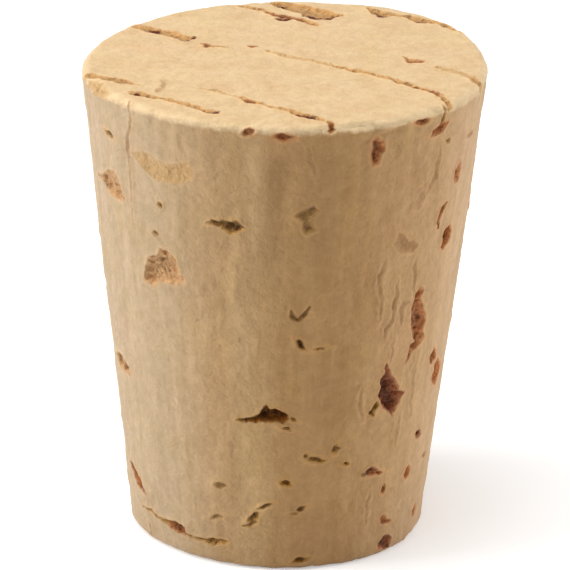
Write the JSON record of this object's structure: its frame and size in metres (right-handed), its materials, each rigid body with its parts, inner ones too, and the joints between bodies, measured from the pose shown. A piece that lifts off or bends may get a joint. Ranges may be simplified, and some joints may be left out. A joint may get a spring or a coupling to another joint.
{
  "type": "cork stopper",
  "caption": "Tapered natural cork stopper with rounded rims, growth seams across its ends and open bark pores round its side.",
  "frame": {"origin": "centre of the narrow end face", "axes": "+Z along the stopper's axis, from the narrow end to the wide end; -Y is the side seen in the picture"},
  "size_m": [0.0248, 0.0242, 0.0302],
  "materials": {
    "cork": "natural matte cork"
  },
  "bodies": {
    "root": {"cork_stopper": "cork"}
  },
  "joints": []
}
